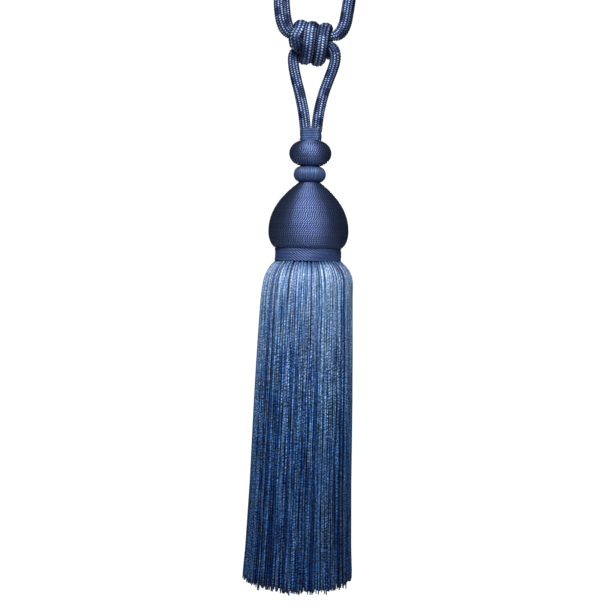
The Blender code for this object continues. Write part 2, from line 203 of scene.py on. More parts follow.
class Shader:
    """Writes the nodes of one material round its Principled shader."""

    def __init__(self, name: str) -> None:
        """Start an empty material.

        Args:
            name: The material's name.
        """
        self.material = bpy.data.materials.new(name)
        self.material.use_nodes = True
        self.tree = self.material.node_tree
        self.surface = self.tree.nodes["Principled BSDF"]

    def node(self, kind: str, settings: dict[str, Any], sockets: dict[Any, Any]) -> bpy.types.Node:
        """Add any node.

        Args:
            kind: The node's type.
            settings: Its properties, which are set first.
            sockets: Values or links for its inputs, by name or place.

        Returns:
            The new node.
        """
        node = self.tree.nodes.new(kind)
        for key, setting in settings.items():
            if key == "stops":
                elements = node.color_ramp.elements
                while len(elements) < len(setting):
                    elements.new(1.0)
                for element, (place, colour) in zip(elements, setting):
                    element.position = place
                    element.color = (*colour, 1.0)
            else:
                setattr(node, key, setting)
        for key, value in sockets.items():
            self.feed(node.inputs[key], value)
        return node

    def feed(self, socket: Socket, value: Any) -> None:
        """Link a Value or a socket to an input, or set it to a constant."""
        if isinstance(value, Value):
            self.tree.links.new(value.socket, socket)
        elif isinstance(value, Socket):
            self.tree.links.new(value, socket)
        else:
            socket.default_value = value

    def place(self) -> Socket:
        """The surface point in the object's own coordinates."""
        return self.node("ShaderNodeTexCoord", {}, {}).outputs["Object"]

    def split(self, vector: Socket) -> list[Value]:
        """The three parts of a vector."""
        node = self.node("ShaderNodeSeparateXYZ", {}, {"Vector": vector})
        return [Value(self, socket) for socket in node.outputs]

    def stored(self, name: str) -> Value:
        """A number that the mesh carries at its points."""
        node = self.node("ShaderNodeAttribute", {"attribute_name": name}, {})
        return Value(self, node.outputs["Fac"])

    def wrap(self) -> Value:
        """The share of a turn round a tube, from its own UV map."""
        node = self.node("ShaderNodeUVMap", {"uv_map": "wrap"}, {})
        return self.split(node.outputs["UV"])[0]

    def around(self) -> Value:
        """The share of a turn about the Z axis."""
        x, y, _ = self.split(self.place())
        return y.angle_over(x) / TURN

    def noise(self, scale: float, detail: float = 2.0, where: Any = None) -> Value:
        """Smooth noise in three dimensions, at the surface point or elsewhere."""
        sockets = {"Vector": self.place() if where is None else where, "Scale": scale, "Detail": detail}
        return Value(self, self.node("ShaderNodeTexNoise", {}, sockets).outputs["Fac"])

    def vector(self, x: Any, y: Any, z: Any) -> Socket:
        """A vector from three numbers."""
        return self.node("ShaderNodeCombineXYZ", {}, {0: x, 1: y, 2: z}).outputs[0]

    def chance(self, value: Value) -> Value:
        """A fixed random number for each whole value."""
        node = self.node("ShaderNodeTexWhiteNoise", {"noise_dimensions": "1D"}, {"W": value})
        return Value(self, node.outputs["Value"])

    def colours(self, value: Value, stops: Sequence[tuple[float, Colour]]) -> Socket:
        """A colour ramp read at a value."""
        return self.node("ShaderNodeValToRGB", {"stops": stops}, {"Fac": value}).outputs["Color"]

    def blend(self, share: Any, first: Any, second: Any, mode: str = "MIX") -> Socket:
        """Mix two colours, given as tuples or sockets."""
        node = self.node("ShaderNodeMix", {"data_type": "RGBA", "blend_type": mode}, {"Factor": share})
        for place, colour in ((6, first), (7, second)):
            self.feed(node.inputs[place], (*colour, 1.0) if isinstance(colour, tuple) else colour)
        return node.outputs[2]

    def scaled(self, colour: Socket, value: Any) -> Socket:
        """A colour times a number."""
        node = self.node("ShaderNodeVectorMath", {"operation": "SCALE"}, {"Vector": colour, "Scale": value})
        return node.outputs[0]

    def paint(self, colour: Socket, shade: Any = None) -> None:
        """Give the surface its colour, times a shade where there is one."""
        self.feed(self.surface.inputs["Base Color"], colour if shade is None else self.scaled(colour, shade))

    def relief(self, height: Value, distance: float, strength: float = 0.7) -> None:
        """Feed a height in 0..1 to the surface's normal as a bump."""
        sockets = {"Height": height, "Distance": distance, "Strength": strength}
        self.feed(self.surface.inputs["Normal"], self.node("ShaderNodeBump", {}, sockets).outputs[0])

    def constants(self, **sockets: float) -> Material:
        """Set sockets of the surface that are the same all over it, and return the material."""
        for name, value in sockets.items():
            title = name.replace("_", " ").title().replace("Ior", "IOR")
            self.surface.inputs[title].default_value = value
        return self.material


# Finishes


@dataclass(frozen=True)
class RopeFinish:
    """Satin rope in plaited columns of short stitches, with a painted highlight on the stitches' crests in runs and
    painted shade in the grooves between.
    """

    name: str = "navy_rope_braid"
    # Painted shade: the colour laid in the grooves between the stitches
    groove_shade: Colour = (0.004, 0.011, 0.048)
    thread: Colour = (0.038, 0.075, 0.225)
    # Painted highlight: the colour of the satin's sheen on the stitches' crests
    stitch_highlight: Colour = (0.42, 0.60, 1.0)
    roughness: float = 0.5

    def material(self) -> Material:
        """Write the material from the stitch heights that the rope's mesh carries."""
        shader = Shader(self.name)
        height, lit = shader.stored("height"), shader.stored("lit")
        fibre = shader.noise(2600.0, 3.0)
        slow = shader.noise(55.0)
        body = shader.blend(height.ramp(0.2, 0.95), self.groove_shade, self.thread)
        # stitch: where the painted highlight lies, on the crests of the lit runs of stitches
        stitch = (lit * height.ramp(0.3, 0.85, 0.03, 1.0) * (fibre * 0.9 + 0.5)).clamped()
        colour = shader.blend(stitch, body, self.stitch_highlight)
        # The stored open share is painted shade down the sides of the knot's turns, where they touch; slow is an
        # even random tone
        shade = (slow * 0.5 + 0.75) * shader.stored("open")
        shader.paint(colour, shade)
        shader.relief(height * 0.7 + fibre * 0.3, 0.35 * MM)
        return shader.constants(roughness=self.roughness, metallic=0.55, specular_ior_level=0.45)


@dataclass(frozen=True)
class WoundFinish:
    """Fine twisted cord wound in close rows, with a stroke for each ply."""

    name: str
    # Painted shade: the colour laid in the grooves between rows and between plies
    groove_shade: Colour
    thread: Colour
    slant: Slant = Slant.RISING
    ply_lean: float = 0.58
    roughness: float = 0.51
    metallic: float = 0.88
    relief: float = 0.36 * MM
    ply_depth: float = 0.82
    row_depth: float = 0.5

    def material(self) -> Material:
        """Write the material from the winding's row and ply counts that the mesh carries."""
        shader = Shader(self.name)
        turn = shader.around()
        row = shader.stored("row") + turn
        shift = shader.chance(row.floor()) * 0.9 + shader.noise(300.0, 1.0) * 0.9
        ply = (turn * shader.stored("plies") + shift + row * (self.slant.value * self.ply_lean)).ridge()
        bed = row.ridge()
        fibre = shader.noise(3200.0, 3.0)
        slow = shader.noise(70.0)
        strokes = ply.ramp(0.25, 0.9, 1.0 - self.ply_depth, 1.0)
        # Painted shade in the grooves between rows and plies, the thread's colour on their crests
        lit = (bed.ramp(0.0, 0.6, 1.0 - self.row_depth, 1.0) * strokes).clamped()
        colour = shader.blend(lit, self.groove_shade, self.thread)
        tone = shader.chance(row.floor()) * 0.26 + slow * 0.3 + fibre * 0.25 + 0.66
        shader.paint(colour, tone)
        shader.relief(bed * 0.25 + ply * 0.6 + fibre * 0.15, self.relief, 0.8)
        shader.constants(anisotropic=0.75, anisotropic_rotation=0.25, specular_ior_level=0.5)
        return shader.constants(roughness=self.roughness, metallic=self.metallic)


@dataclass(frozen=True)
class WrappedFinish:
    """Satin yarn wrapped over a ring, one fine rib beside the other."""

    name: str = "ring_yarn_wrapped"
    # Painted shade: the colour laid in the grooves between the ribs
    groove_shade: Colour = (0.008, 0.018, 0.06)
    thread: Colour = (0.072, 0.128, 0.30)
    wraps: int = 52
    roughness: float = 0.5

    def material(self) -> Material:
        """Write the material from the turn about the Z axis."""
        shader = Shader(self.name)
        turn = shader.around()
        _, _, z = shader.split(shader.place())
        count = turn * float(self.wraps) + z * WRAP_LEAN
        rib = count.ridge()
        fibre = shader.noise(1.0, 3.0, shader.vector(count * 6.0, z * 300.0, 0.0))
        colour = shader.blend(rib.ramp(0.0, 0.9, 0.45, 1.0), self.groove_shade, self.thread)
        tone = shader.chance(count.floor()) * 0.3 + fibre * 0.4 + 0.62
        shader.paint(colour, tone)
        shader.relief(rib * 0.7 + fibre * 0.3, 0.2 * MM)
        return shader.constants(roughness=self.roughness, metallic=0.35, specular_ior_level=0.5)


@dataclass(frozen=True)
class BraidFinish:
    """Thick twisted cord laid in rows, from the heights that the band's mesh carries."""

    name: str = "navy_yarn_braid"
    # Painted shade: the colour laid in the grooves between the strokes and rows
    groove_shade: Colour = (0.003, 0.008, 0.032)
    thread: Colour = (0.054, 0.100, 0.27)
    roughness: float = 0.5

    def material(self) -> Material:
        """Write the material from the strokes that the mesh carries."""
        shader = Shader(self.name)
        height = shader.stored("height")
        fibre = shader.noise(2800.0, 3.0)
        slow = shader.noise(90.0)
        colour = shader.blend(height.ramp(0.25, 0.95), self.groove_shade, self.thread)
        tone = slow * 0.4 + fibre * 0.5 + 0.55
        shader.paint(colour, tone)
        shader.relief(height * 0.6 + fibre * 0.4, 0.3 * MM)
        return shader.constants(roughness=self.roughness, metallic=0.3, specular_ior_level=0.45)


@dataclass(frozen=True)
class SkirtFinish:
    """Twisted yarn in an ombre from light steel blue at the band to navy at the hem, with painted shade just under
    the band and a painted highlight on the shoulder.
    """

    name: str = "skirt_yarn_shaded"
    roughness: float = 0.5
    length: float = 215.0 * MM
    grain: float = 0.75 * MM
    # The dark end of each thread's colour: darker yarn, and the painted shade that the tone carries
    dark_yarn_and_shade: Colour = (0.045, 0.22, 0.42)
    lifted: Colour = (1.84, 1.55, 1.37)
    cool_tint: Colour = (0.75, 1.1, 1.1)
    warm_tint: Colour = (1.13, 0.95, 1.05)
    # The ramp along the thread: its first stop is painted shade just under the band, its second is the light steel
    # blue lifted further as a painted highlight where the shoulder meets the light from above; the stops below fade
    # to navy
    ombre_and_painted_light: tuple[tuple[float, Colour], ...] = (
        (0.0, (0.12, 0.21, 0.40)),
        (0.039, (0.285, 0.424, 0.676)),
        (0.085, (0.22, 0.356, 0.60)),
        (0.16, (0.141, 0.256, 0.472)),
        (0.25, (0.107, 0.204, 0.40)),
        (0.357, (0.070, 0.150, 0.326)),
        (0.478, (0.0485, 0.121, 0.28)),
        (0.60, (0.034, 0.093, 0.234)),
        (0.72, (0.026, 0.075, 0.196)),
        (0.84, (0.021, 0.063, 0.175)),
        (1.0, (0.022, 0.064, 0.175)),
    )

    def material(self) -> Material:
        """Write the material from each thread's tone, depth and own UV map."""
        shader = Shader(self.name)
        tone, depth = shader.stored("tone"), shader.stored("depth")
        thread = (shader.stored("thread") + 0.5).floor()
        turn = shader.wrap()
        ramped = shader.colours(depth / self.length + (tone - 0.5) * 0.05, self.ombre_and_painted_light)
        cooler = shader.blend(shader.chance(thread + 11.0) * 0.6, ramped, self.cool_tint, "MULTIPLY")
        warmed = shader.chance(thread + 5.0).ramp(0.5, 1.0)
        cooler = shader.blend(warmed, cooler, self.warm_tint, "MULTIPLY")
        pitch = shader.chance(thread + 3.0) * 0.15 + 0.5
        jitter = shader.noise(1.0, 1.0, shader.vector(thread * 9.1, depth * 300.0, 0.0)) * 1.8
        # The ply pattern is painted as a highlight on each ply's crest and shade in the grooves between, brighter
        # or dimmer at random for each stitch and fine grain, growing stronger over the upper third
        stitches = turn + depth / MM * pitch + shader.chance(thread) + jitter
        plies = stitches.ridge()
        contrast = (depth / self.length * 3.0).clamped()
        spark = shader.chance(stitches.floor() + thread * 613.0) * 0.5 + 0.78
        sparkle_speckle = shader.chance((depth / self.grain).floor() + thread * 37.0) * (contrast * 0.9 + 0.25)
        fleck = shader.noise(1.0, 2.0, shader.vector(thread * 7.0, turn * 2.0, depth * 900.0))
        drift = shader.noise(1.0, 1.0, shader.vector(thread * 5.3, depth * 38.0, 0.0))
        wander = drift.ramp(0.3, 0.7, -0.4, 0.4) + fleck.ramp(0.35, 0.65, -0.2, 0.2)
        light = (tone + wander * tone.ramp(0.0, 0.3)).clamped()
        light = light * (contrast * 0.45 + 0.55) + (0.27 - contrast * 0.27) * tone.ramp(0.0, 0.15)
        beaded = (contrast * 0.9 + 0.3) * (shader.chance(thread + 7.0) * 0.9 + 0.45)
        dots = (plies.ramp(0.35, 0.75, -0.5, 0.5) * beaded + 0.88) * (sparkle_speckle + 0.89 - contrast * 0.38)
        # shade: the painted ply highlights and shade, times painted shade down each thread's sides
        shade = dots * spark * shader.stored("face").ramp(0.3, 0.95, contrast * -0.25 + 0.35, 1.15)
        # dark: darker yarn and painted shade; pale: paler yarn; mixed by each thread's tone
        dark = shader.blend(1.0, cooler, self.dark_yarn_and_shade, "MULTIPLY")
        pale = shader.blend(1.0, cooler, self.lifted, "MULTIPLY")
        shader.paint(shader.blend(light, dark, pale), shade)
        shader.relief(plies * 0.7 + fleck * 0.3, 0.18 * MM)
        return shader.constants(roughness=self.roughness, metallic=0.12, specular_ior_level=0.2)


# Mesh helpers


def mix(start: Any, end: Any, share: Any) -> Any:
    """The value a share of the way from start to end."""
    return start + (end - start) * share


def smooth_route(rows: Sequence[Row], step: float) -> Array:
    """Follow a centripetal curve through the rows.

    Args:
        rows: Points as x, y, z in mm, and any further columns.
        step: The distance between the points returned, in metres.

    Returns:
        One row for each point: x, y, z in metres and the other columns as they are.
    """
    knots = np.array(rows, dtype=float)
    knots = np.vstack([2 * knots[0] - knots[1], knots, 2 * knots[-1] - knots[-2]])
    spans = np.sqrt(np.linalg.norm(np.diff(knots[:, :3], axis=0), axis=1))
    times = np.concatenate([[0.0], np.cumsum(spans)])
    dense = []
    for i in range(1, len(knots) - 2):
        t0, t1, t2, t3 = times[i - 1 : i + 3]
        p0, p1, p2, p3 = knots[i - 1 : i + 3]
        t = np.linspace(t1, t2, 24, endpoint=False)[:, None]
        a1 = mix(p0, p1, (t - t0) / (t1 - t0))
        a2 = mix(p1, p2, (t - t1) / (t2 - t1))
        a3 = mix(p2, p3, (t - t2) / (t3 - t2))
        b1 = mix(a1, a2, (t - t0) / (t2 - t0))
        b2 = mix(a2, a3, (t - t1) / (t3 - t1))
        dense.append(mix(b1, b2, (t - t1) / (t2 - t1)))
    line = np.vstack([*dense, knots[-2:-1]])
    line[:, :3] *= MM
    lengths = distances(line[:, :3])
    places = np.linspace(0.0, lengths[-1], round(lengths[-1] / step) + 1)
    return np.column_stack([np.interp(places, lengths, line[:, column]) for column in range(line.shape[1])])


def coil_rows() -> list[Row]:
    """The coil's route, turn by turn round the core of the knot."""
    rows = []
    for angle in COIL_ANGLES:
        half_turn, share = divmod(angle / 180, 1)
        x = mix(COIL_PASSES[int(half_turn)], COIL_PASSES[int(half_turn) + 1], share)
        cosine = math.cos(math.radians(angle))
        straight = max(-1.0, min(1.0, COIL_CORNER_SHARPNESS * cosine))
        y = COIL_HALF_DEPTH * math.sin(math.radians(angle))
        rise = COIL_HALF_DEPTH * cosine + (COIL_HALF_HEIGHT - COIL_HALF_DEPTH) * straight
        rows.append((x, y, KNOT_HEIGHT - KNOT_TILT * x - rise, 1.0))
    return rows


def finished(shape: bmesh.types.BMesh, name: str) -> Mesh:
    """Turn the shape into a mesh and free it."""
    mesh = bpy.data.meshes.new(name)
    shape.to_mesh(mesh)
    shape.free()
    return mesh


def shown(name: str, data: Any) -> Piece:
    """Put an object with this data in the scene."""
    thing = bpy.data.objects.new(name, data)
    bpy.context.scene.collection.objects.link(thing)
    return thing


def faced(place: Sequence[float], target: Sequence[float]) -> Matrix:
    """The place and turn of a camera or light that looks at a target."""
    aim = Vector(target) - Vector(place)
    return Matrix.Translation(place) @ aim.to_track_quat("-Z", "Y").to_matrix().to_4x4()


def units(vectors: Array) -> Array:
    """The same directions, each of length 1."""
    return vectors / np.linalg.norm(vectors, axis=1)[:, None]


def distances(points: Array) -> Array:
    """The length along a line at each of its points."""
    return np.concatenate([[0.0], np.cumsum(np.linalg.norm(np.diff(points, axis=0), axis=1))])


def ridge(values: Array) -> Array:
    """Rounded ridges, one for each whole number, 0 in the grooves and 1 on the crests."""
    return np.abs(np.sin(math.pi * values))


def turns_of(points: Array) -> Array:
    """Each point's share of a turn about the Z axis."""
    return np.arctan2(points[:, 1], points[:, 0]) / TURN


def tube(sides: int, steps: int) -> Mesh:
    """A closed unit tube to be bent into a thread or a rope.

    Args:
        sides: Faces round it.
        steps: Faces along it.

    Returns:
        A mesh of radius 1 whose z runs from 0 to 1, with the UV map "wrap" round and along it.
    """
    shape = bmesh.new()
    shape.loops.layers.uv.new("wrap")
    bmesh.ops.create_grid(shape, x_segments=sides, y_segments=steps, size=0.5, calc_uvs=True)
    for corner in shape.verts:
        angle = (corner.co.x + 0.5) * TURN
        corner.co = Vector((math.cos(angle), math.sin(angle), corner.co.y + 0.5))
    bmesh.ops.remove_doubles(shape, verts=shape.verts, dist=1e-5)
    bmesh.ops.holes_fill(shape, edges=[edge for edge in shape.edges if edge.is_boundary], sides=0)
    bmesh.ops.recalc_face_normals(shape, faces=shape.faces)
    return finished(shape, "tube")


def repeated(mesh: Mesh, count: int) -> Mesh:
    """One mesh with a number of copies of another, one after the other."""
    shape = bmesh.new()
    for _ in range(count):
        shape.from_mesh(mesh)
    return finished(shape, "copies")


def spun(profile: Sequence[tuple[float, float]], steps: int) -> Mesh:
    """Turn a profile of (radius, height) points about the Z axis into a closed mesh."""
    shape = bmesh.new()
    corners = [shape.verts.new((radius, 0.0, height)) for radius, height in profile]
    edges = [shape.edges.new(pair) for pair in zip(corners, corners[1:])]
    geometry = corners + edges
    turn = {"cent": (0, 0, 0), "axis": (0, 0, 1), "angle": TURN, "use_merge": True}
    bmesh.ops.spin(shape, geom=geometry, steps=steps, **turn)
    bmesh.ops.remove_doubles(shape, verts=shape.verts, dist=0.001 * MM)
    bmesh.ops.recalc_face_normals(shape, faces=shape.faces)
    return finished(shape, "spun")


def points_of(mesh: Mesh) -> Array:
    """The mesh's points as an array of rows."""
    flat = np.empty(len(mesh.vertices) * 3)
    mesh.vertices.foreach_get("co", flat)
    return flat.reshape(-1, 3)


def move_points(mesh: Mesh, points: Array) -> None:
    """Put the mesh's points at new places."""
    mesh.vertices.foreach_set("co", points.ravel())
    mesh.update()


def store(mesh: Mesh, **values: Array) -> None:
    """Keep numbers at the mesh's points for its material."""
    for name, numbers in values.items():
        layer = mesh.attributes.new(name, "FLOAT", "POINT")
        layer.data.foreach_set("value", np.asarray(numbers, dtype=np.float32))


def dress(name: str, mesh: Mesh, material: Material, node: str, slot: str) -> Piece:
    """Show a finished mesh in place of a node.

    Args:
        name: The piece's name.
        mesh: Its mesh, in place.
        material: Its finish.
        node: The solid that it stands for.
        slot: The record's material slot; it is not used.

    Returns:
        The new piece.
    """
    mesh.name = name
    mesh.shade_smooth()
    mesh.materials.append(material)
    piece = shown(name, mesh)
    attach(piece, BODY)
    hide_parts(node)
    mesh.calc_loop_triangles()
    LOG.info("%s: %d triangles", name, len(mesh.loop_triangles))
    return piece


def noise_line(places: Array, wavelength: float, seed: int) -> Array:
    """Smooth random numbers between about -1 and 1 along a line."""
    chance = np.random.default_rng(seed)
    total = np.zeros_like(places)
    for share in (1.0, 0.61, 0.37):
        total += np.sin(TURN * places / (wavelength * share) + chance.uniform(0.0, TURN)) * share
    return total / 1.6


# Sub-assemblies


@dataclass
class Rope:
    """One rope of plaited columns, swept along its route."""

    name: str
    rows: list[Row]
    finish: RopeFinish = field(default_factory=RopeFinish)
    diameter: float = ROPE_DIAMETER
    sides: int = 60
    step: float = 0.28 * MM
    columns: int = 10
    stitch: float = 1.42 * MM
    relief: float = 0.4 * MM
    fullness: float = 0.3 * MM
    run: float = 24.0 * MM
    # Share of the rope's length where each pair of columns carries the painted highlight
    lit_share: float = 0.74
    pressed_from: int = 0
    pressed_to: int = 0
    pressed_width: float = 1.22
    pressed_depth: float = 0.96
    seed: int = 1

    def frames(self, line: Array) -> tuple[Array, Array]:
        """Two directions across the rope at each point, carried along it without twist.

        Args:
            line: The route's points.

        Returns:
            The side and the up direction of each point, with the ends' front sides facing -Y.
        """
        tangents = units(np.gradient(line, axis=0))
        sides = np.zeros_like(line)
        front = np.array([0.0, -1.0, 0.0])
        side = front
        for i, tangent in enumerate(tangents):
            side = side - tangent * side.dot(tangent)
            side /= np.linalg.norm(side)
            sides[i] = side
        ups = np.cross(tangents, sides)
        excess = math.atan2(front.dot(ups[-1]), front.dot(sides[-1]))
        turns = excess * np.linspace(0.0, 1.0, len(line))[:, None]
        return sides * np.cos(turns) + ups * np.sin(turns), ups * np.cos(turns) - sides * np.sin(turns)

    def build(self) -> tuple[Mesh, Array]:
        """Make the rope's mesh.

        Returns:
            The mesh and its centre line.
        """
        pressed = [float(self.pressed_from <= i < self.pressed_to) for i in range(len(self.rows))]
        full = [(*row[:3], row[3] if len(row) > 3 else 1.0) for row in self.rows]
        route = smooth_route([(*row, press) for row, press in zip(full, pressed)], self.step)
        steps = len(route) - 1
        length = steps * self.step
        mesh = tube(self.sides, steps)
        unit = points_of(mesh)
        ring = np.rint(unit[:, 2] * steps).astype(int)
        angle = np.arctan2(unit[:, 1], unit[:, 0]) % TURN
        side, up = self.frames(route[:, :3])
        along = ring / steps * length
        column = angle / TURN * self.columns
        index = np.floor(column)
        across = 2.0 * (column - index) - 1.0
        phase = along / self.stitch + 0.5 * np.abs(across) + index * 0.5
        lobe = 0.5 + 0.5 * np.cos(TURN * phase)
        rib = np.clip(1.0 - np.abs(across) ** 1.3, 0.0, 1.0) ** 0.8
        height = rib * (0.3 + 0.7 * lobe)
        # lit: painted highlight in runs along each pair of columns, each stitch's painted glint brighter or dimmer
        # at random
        lit = np.zeros_like(along)
        for number in range(self.columns // 2):
            mine = index // 2 == number
            drift = noise_line(along[mine], 3.0 * self.run, self.seed + number)
            place = (along[mine] / self.run + 0.4 * number + 0.12 * drift) % 1.0
            lit[mine] = np.clip((self.lit_share / 2 - np.abs(place - 0.5)) / 0.05 + 0.5, 0.04, 1.0)
            lit[mine] *= 0.8 + 0.2 * drift
        stitches = np.floor(phase).astype(int)
        gleam = np.random.default_rng(self.seed).uniform(0.45, 1.35, (self.columns, stitches.max() + 2))
        lit *= gleam[index.astype(int) % self.columns, stitches]
        radius = (self.diameter / 2 + self.fullness - self.relief * (1.0 - height)) * route[ring, 3]
        centre = route[ring, :3]
        outward = side[ring] * np.cos(angle)[:, None] + up[ring] * np.sin(angle)[:, None]
        press = route[ring, 4:5]
        offset = outward * radius[:, None]
        tangent = units(np.gradient(route[:, :3], axis=0))
        beside = units(np.array([1.0, 0.0, 0.0]) - tangent * tangent[:, :1])[ring]
        sideways = beside * (offset * beside).sum(axis=1)[:, None]
        wide = mix(1.0, self.pressed_width, press)
        deep = mix(1.0, self.pressed_depth, press)
        move_points(mesh, centre + sideways * wide + (offset - sideways) * deep)
        # Painted shade where the knot's turns touch, only on the pressed turns
        knot_shade = mix(1.0, self.knot_contact_shade(route, ring, outward), press[:, 0])
        store(mesh, height=height, lit=lit, open=knot_shade)
        return mesh, route[:, :3]

    def knot_contact_shade(self, route: Array, ring: Array, outward: Array) -> Array:
        """Painted shade on the knot's turns, from how open to the light each point lies.

        Args:
            route: The route's points, with the pressed share in the last column.
            ring: The route point that each mesh point belongs to.
            outward: The direction from the rope's centre to each mesh point.

        Returns:
            1 on the turns' backs, and little down their sides, where they touch: painted shade that the rope's
            colour is multiplied by.
        """
        turns = route[:, 4] > 0.5
        if not turns.any():
            return np.ones(len(ring))
        away = route[:, :3] - route[turns, :3].mean(axis=0)
        away[:, 0] = 0.0
        away /= np.maximum(np.linalg.norm(away, axis=1), 1e-6)[:, None]
        facing = (away[ring] * outward).sum(axis=1)
        return np.clip((facing - 0.3) / 0.45, 0.15, 1.0)

    def dress(self, material: Material) -> Piece:
        mesh, line = self.build()
        piece = dress(f"{self.name}_plaited", mesh, material, self.name, "navy_rope")
        length = float(distances(line)[-1])
        tuple(line[0])
        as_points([tuple(point) for point in line[::4]] + [tuple(line[-1])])
        LOG.info("%s: %.1f mm long", self.name, length / MM)
        return piece


@dataclass
class Winding:
    """Fine cord wound in close rows over a turned profile."""

    name: str
    node: str
    slot: str
    profile: Profile
    finish: WoundFinish
    pitch: float = 1.25 * MM
    ply: float = 1.52 * MM
    relief: float = 0.10 * MM
    steps: int = 144
    rows_per_turn: int = 6

    def refined(self) -> tuple[Profile, Array]:
        """Points along the smooth profile, a few for each row of winding, with their lengths along it."""
        places = np.array(self.profile)
        lengths = distances(places)
        count = round(lengths[-1] / self.pitch * self.rows_per_turn)
        at = np.linspace(0.0, lengths[-1], count + 1)
        fine = np.column_stack([np.interp(at, lengths, places[:, 0]), np.interp(at, lengths, places[:, 1])])
        return [tuple(point) for point in fine], at

    def dress(self) -> Piece:
        """Build the winding and show it in place of its node."""
        fine, at = self.refined()
        closed = [(0.0, fine[0][1]), *fine, (0.0, fine[-1][1])]
        mesh = spun(closed, self.steps)
        points = points_of(mesh)
        radius = np.hypot(points[:, 0], points[:, 1])
        radii, heights = np.array(fine).T
        nearest = np.abs(points[:, 2][:, None] - heights[None, :]).argmin(axis=1)
        turn = turns_of(points)
        row = at[nearest] / self.pitch
        bed = ridge(row + turn)
        slope = units(np.gradient(np.array(fine), axis=0))
        outward, lift = -slope[nearest, 1], slope[nearest, 0]
        rim = (radius > 0.5 * MM).astype(float)
        dent = self.relief * (1.0 - np.sqrt(bed)) * rim
        scale = np.where(rim > 0, (radius - dent * outward) / np.maximum(radius, 1e-9), 0.0)
        points[:, :2] *= scale[:, None]
        points[:, 2] -= dent * lift
        row_radius = np.interp((np.floor(row + turn) + 0.5) * self.pitch, at, radii)
        plies = np.maximum(3.0, np.rint(TURN * row_radius / self.ply))
        move_points(mesh, points)
        store(mesh, row=row, plies=plies)
        return dress(self.name, mesh, self.finish.material(), self.node, self.slot)


@dataclass
class BellHead:
    """The bell: a steep dome to its widest line and a short turn in to the band."""

    top_radius: float = 7.1 * MM
    radius: float = 26.05 * MM
    bottom_radius: float = 21.3 * MM
    dome_curve: float = 2.2
    under_curve: float = 0.65
    finish: WoundFinish = field(
        default_factory=lambda: WoundFinish("navy_yarn_head", (0.003, 0.006, 0.028), (0.128, 0.186, 0.40))
    )

    def profile(self) -> Profile:
        """The bell's outline from the top down."""
        outline = []
        for down in np.linspace(0.0, 1.0, 120) ** 1.3:
            fullness = 1.0 - (1.0 - down) ** self.dome_curve
            outline.append((mix(self.top_radius, self.radius, fullness), mix(HEAD_TOP, HEAD_WIDEST, down)))
        for angle in np.linspace(0.0, math.pi / 2, 50)[1:]:
            down = math.sin(angle)
            narrowing = 1.0 - max(0.0, 1.0 - down**2) ** self.under_curve
            radius = mix(self.radius, self.bottom_radius, narrowing)
            outline.append((radius, mix(HEAD_WIDEST, BAND_TOP, down)))
        return outline

    def dress(self) -> Piece:
        """Wind the bell."""
        return Winding("head_wound", "head", "navy_yarn", self.profile(), self.finish).dress()


@dataclass
class FlattenedBall:
    """The small ball, flattened at its poles."""

    radius: float = 13.75 * MM
    seat_radius: float = 6.0 * MM
    roundness: float = 0.8
    finish: WoundFinish = field(
        default_factory=lambda: WoundFinish("navy_yarn_ball", (0.006, 0.011, 0.040), (0.13, 0.19, 0.41))
    )

    def profile(self) -> Profile:
        """The ball's outline from the top down."""
        middle, half = (BALL_TOP + RING_TOP) / 2, (BALL_TOP - RING_TOP) / 2
        seat = math.asin((self.seat_radius / self.radius) ** (1.0 / self.roundness))
        half /= math.cos(seat)
        outline = []
        for angle in np.linspace(seat, math.pi - seat, 80):
            radius = self.radius * math.sin(angle) ** self.roundness
            outline.append((radius, middle + half * math.cos(angle)))
        return outline

    def dress(self) -> Piece:
        """Wind the ball."""
        winding = Winding("ball_wound", "ball", "navy_yarn", self.profile(), self.finish)
        winding.pitch, winding.ply, winding.steps = 1.2 * MM, 1.5 * MM, 96
        return winding.dress()


@dataclass
class WrappedRing:
    """The ring between ball and head, wrapped over its rim in lighter yarn."""

    radius: float = 10.5 * MM
    seat_radius: float = 5.6 * MM
    relief: float = 0.15 * MM
    finish: WrappedFinish = field(default_factory=WrappedFinish)

    def dress(self) -> Piece:
        """Build the ring and show it."""
        middle, half = (RING_TOP + HEAD_TOP) / 2, (RING_TOP - HEAD_TOP) / 2
        rim = self.radius - self.seat_radius
        profile = [(0.0, RING_TOP)]
        for angle in np.linspace(0.0, math.pi, 25):
            profile.append((self.seat_radius + rim * math.sin(angle), middle + half * math.cos(angle)))
        profile.append((0.0, HEAD_TOP))
        mesh = spun(profile, self.finish.wraps * 6)
        points = points_of(mesh)
        turn = turns_of(points)
        rib = ridge(turn * self.finish.wraps + points[:, 2] * WRAP_LEAN)
        uneven = 0.25 * MM * np.sin(TURN * turn * 7.0 + 1.0) * np.sin(TURN * turn * 3.0)
        radius = np.maximum(np.hypot(points[:, 0], points[:, 1]), 1e-9)
        rim_share = np.clip((radius - self.seat_radius * 0.8) / rim, 0.0, 1.0)
        scale = 1.0 + rim_share * (uneven - self.relief * (1.0 - rib)) / radius
        points[:, :2] *= scale[:, None]
        move_points(mesh, points)
        return dress("ring_wrapped", mesh, self.finish.material(), "ring", "ring_yarn")


